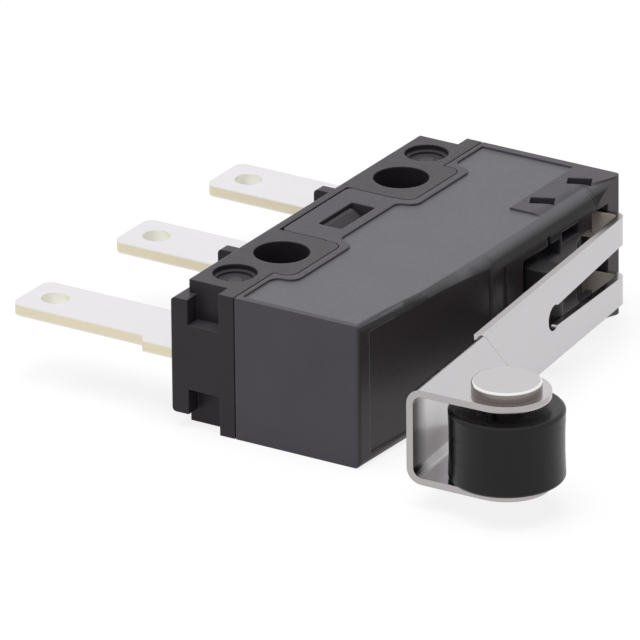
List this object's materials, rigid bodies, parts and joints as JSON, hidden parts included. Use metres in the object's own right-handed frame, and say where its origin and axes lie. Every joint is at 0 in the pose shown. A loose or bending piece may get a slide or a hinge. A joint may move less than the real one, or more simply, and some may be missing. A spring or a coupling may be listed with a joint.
{
  "type": "lever micro switch",
  "caption": "Subminiature snap-action switch with a hinged roller lever, a snap-fit case with mounting holes and blade terminals.",
  "frame": {"origin": "on the axis of the mounting hole nearest the lever's hinge, in the lower big face", "axes": "+X along the case towards the roller, +Y from the terminals towards the lever, +Z through the thickness"},
  "size_m": [0.0225, 0.0273, 0.0064],
  "materials": {
    "case": "moulded, fine satin",
    "cover": "moulded, fine satin",
    "plunger": "moulded",
    "lever": "rolled stainless sheet",
    "roller": "turned, slight gloss",
    "rivet": "nickel-plated, barrel-finished",
    "terminal": "silver-plated faces, bare brass cut edges",
    "contact": "silver alloy",
    "spring_leaf": "beryllium copper strip"
  },
  "bodies": {
    "case": {"case_base": "case", "case_cover": "cover", "terminal_com": "terminal", "terminal_no": "terminal", "terminal_nc": "terminal", "fixed_contact_no": "contact", "fixed_contact_nc": "contact", "snap_spring": "spring_leaf"},
    "lever_arm": {"lever": "lever", "roller_rivet": "rivet"},
    "roller_wheel": {"roller": "roller"},
    "plunger_pin": {"plunger": "plunger"},
    "moving_blade": {"contact_blade": "spring_leaf", "moving_contact": "contact"}
  },
  "joints": [
    {"name": "lever_hinge", "type": "hinge", "parent": "case", "child": "lever_arm", "pos_m": [-0.00308, 0.00673, 0.0032], "axis": [0, 0, -1], "range_deg": [0, 9], "stiffness_Nm_per_rad": 0.004, "springref_deg": -57.3},
    {"name": "roller_spin", "type": "hinge", "parent": "lever_arm", "child": "roller_wheel", "pos_m": [0.01484, 0.01428, 0.0032], "axis": [0, 0, 1], "continuous": true},
    {"name": "plunger_slide", "type": "slide", "parent": "case", "child": "plunger_pin", "axis": [0, -1, 0], "range_m": [0, 0.0008], "deforming": ["snap_spring"]},
    {"name": "contact_hinge", "type": "hinge", "parent": "case", "child": "moving_blade", "pos_m": [-0.0025, 0.0039, 0.0032], "axis": [0, 0, -1], "range_deg": [0, 1.95]}
  ],
  "couplings": [
    {"joint": "plunger_slide", "follows": "lever_hinge", "m_per_rad": 0.00503},
    {"joint": "contact_hinge", "follows": "lever_hinge", "ratio": 0.2155}
  ]
}
